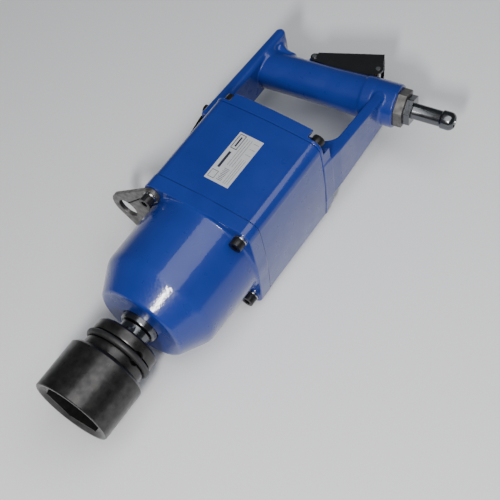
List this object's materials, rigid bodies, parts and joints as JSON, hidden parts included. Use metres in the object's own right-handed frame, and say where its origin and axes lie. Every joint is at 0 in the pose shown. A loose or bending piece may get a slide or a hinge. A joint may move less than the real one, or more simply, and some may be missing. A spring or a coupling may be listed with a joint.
{
  "type": "pneumatic impact wrench",
  "caption": "Heavy-duty air impact wrench with a D-handle, press-down throttle lever, reversing lever, suspension eye and hexagon socket on its square drive.",
  "frame": {"origin": "centre of the socket's mouth, on the tool axis", "axes": "+Y along the tool axis from the socket to the handle; +X along the grip towards the air inlet; +Z out of the nameplate side, up when the tool lies down"},
  "size_m": [0.2432, 0.4841, 0.126],
  "materials": {
    "blue_enamel": "glossy blue enamel over cast alloy",
    "black_socket": "black phosphated satin",
    "bright_steel": "ground bright",
    "dark_steel": "black oxide",
    "grey_steel": "bare rolled plate",
    "lever_black": "gloss black",
    "barb_steel": "polished",
    "plate_silver": "satin printed plate",
    "bronze": "machined bearing bronze",
    "rubber": "matt",
    "gasket": "compressed fibre",
    "vane": "laminated phenolic",
    "felt": "felt"
  },
  "bodies": {
    "casing": {"hammer_case": "blue_enamel", "nose_bush": "bronze", "nose_seal": "rubber", "thrust_washer": "bronze", "case_gasket": "gasket", "motor_housing": "blue_enamel", "handle_gasket": "gasket", "handle_casting": "blue_enamel", "front_flange_screws": "dark_steel", "rear_flange_screws": "dark_steel", "front_flange_washers": "bright_steel", "rear_flange_washers": "bright_steel", "suspension_bracket": "grey_steel", "nameplate": "plate_silver", "motor_cylinder": "bright_steel", "front_end_plate": "bright_steel", "rear_end_plate": "bright_steel", "end_plate_dowels": "bright_steel", "front_bearing_outer_ring": "bright_steel", "rear_bearing_outer_ring": "bright_steel", "exhaust_silencer": "felt", "exhaust_cover": "dark_steel", "exhaust_cover_screws": "bright_steel", "reverse_valve_bush": "bronze", "throttle_valve_bush": "bronze", "throttle_valve_spring": "bright_steel", "lever_pivot_pin": "bright_steel", "inlet_bushing": "grey_steel", "inlet_screen": "bronze", "hose_nipple": "barb_steel"},
    "spindle": {"anvil": "barb_steel", "impact_socket": "black_socket", "socket_retaining_pin": "dark_steel", "socket_retaining_ring": "rubber"},
    "rotor_unit": {"hammer_cage": "bright_steel", "hammer_pins": "bright_steel", "rotor": "bright_steel", "rotor_vanes": "vane", "front_bearing_inner_ring": "bright_steel", "rear_bearing_inner_ring": "bright_steel"},
    "front_ball_set": {"front_bearing_balls": "bright_steel"},
    "rear_ball_set": {"rear_bearing_balls": "bright_steel"},
    "front_hammer_body": {"front_hammer": "bright_steel"},
    "rear_hammer_body": {"rear_hammer": "bright_steel"},
    "lever": {"throttle_lever": "lever_black", "lever_contact_pin": "bright_steel"},
    "throttle_valve": {"throttle_valve_stem": "bright_steel"},
    "reverse_control": {"reverse_valve_spool": "bright_steel", "reverse_lever": "dark_steel", "reverse_lever_screw": "dark_steel"}
  },
  "joints": [
    {"name": "spindle_spin", "type": "hinge", "parent": "casing", "child": "spindle", "pos_m": [0, 0.1, 0], "axis": [0, 1, 0], "continuous": true},
    {"name": "rotor_spin", "type": "hinge", "parent": "casing", "child": "rotor_unit", "pos_m": [0, 0.25, 0], "axis": [0, 1, 0], "continuous": true},
    {"name": "front_ball_set_spin", "type": "hinge", "parent": "casing", "child": "front_ball_set", "pos_m": [0, 0.227, 0], "axis": [0, 1, 0], "continuous": true},
    {"name": "rear_ball_set_spin", "type": "hinge", "parent": "casing", "child": "rear_ball_set", "pos_m": [0, 0.312, 0], "axis": [0, 1, 0], "continuous": true},
    {"name": "front_hammer_swing", "type": "hinge", "parent": "rotor_unit", "child": "front_hammer_body", "pos_m": [0.035, 0.1659, 0], "axis": [0, 1, 0], "range_deg": [-6, 6]},
    {"name": "rear_hammer_swing", "type": "hinge", "parent": "rotor_unit", "child": "rear_hammer_body", "pos_m": [-0.035, 0.1911, 0], "axis": [0, 1, 0], "range_deg": [-6, 6]},
    {"name": "throttle_lever_press", "type": "hinge", "parent": "casing", "child": "lever", "pos_m": [-0.03054, 0.44492, 0], "axis": [0, 0, 1], "range_deg": [-5, 0], "stiffness_Nm_per_rad": 6, "springref_deg": 9.74},
    {"name": "throttle_valve_open", "type": "slide", "parent": "casing", "child": "throttle_valve", "axis": [0.165, -0.9863, 0], "range_m": [0, 0.0061], "deforming": ["throttle_valve_spring"]},
    {"name": "reverse_turn", "type": "hinge", "parent": "casing", "child": "reverse_control", "pos_m": [-0.085, 0.3376, 0], "axis": [1, 0, 0], "range_deg": [-30, 30]}
  ],
  "couplings": [
    {"joint": "front_ball_set_spin", "follows": "rotor_spin", "ratio": 0.42},
    {"joint": "rear_ball_set_spin", "follows": "rotor_spin", "ratio": 0.408},
    {"joint": "throttle_valve_open", "follows": "throttle_lever_press", "m_per_rad": -0.068}
  ]
}
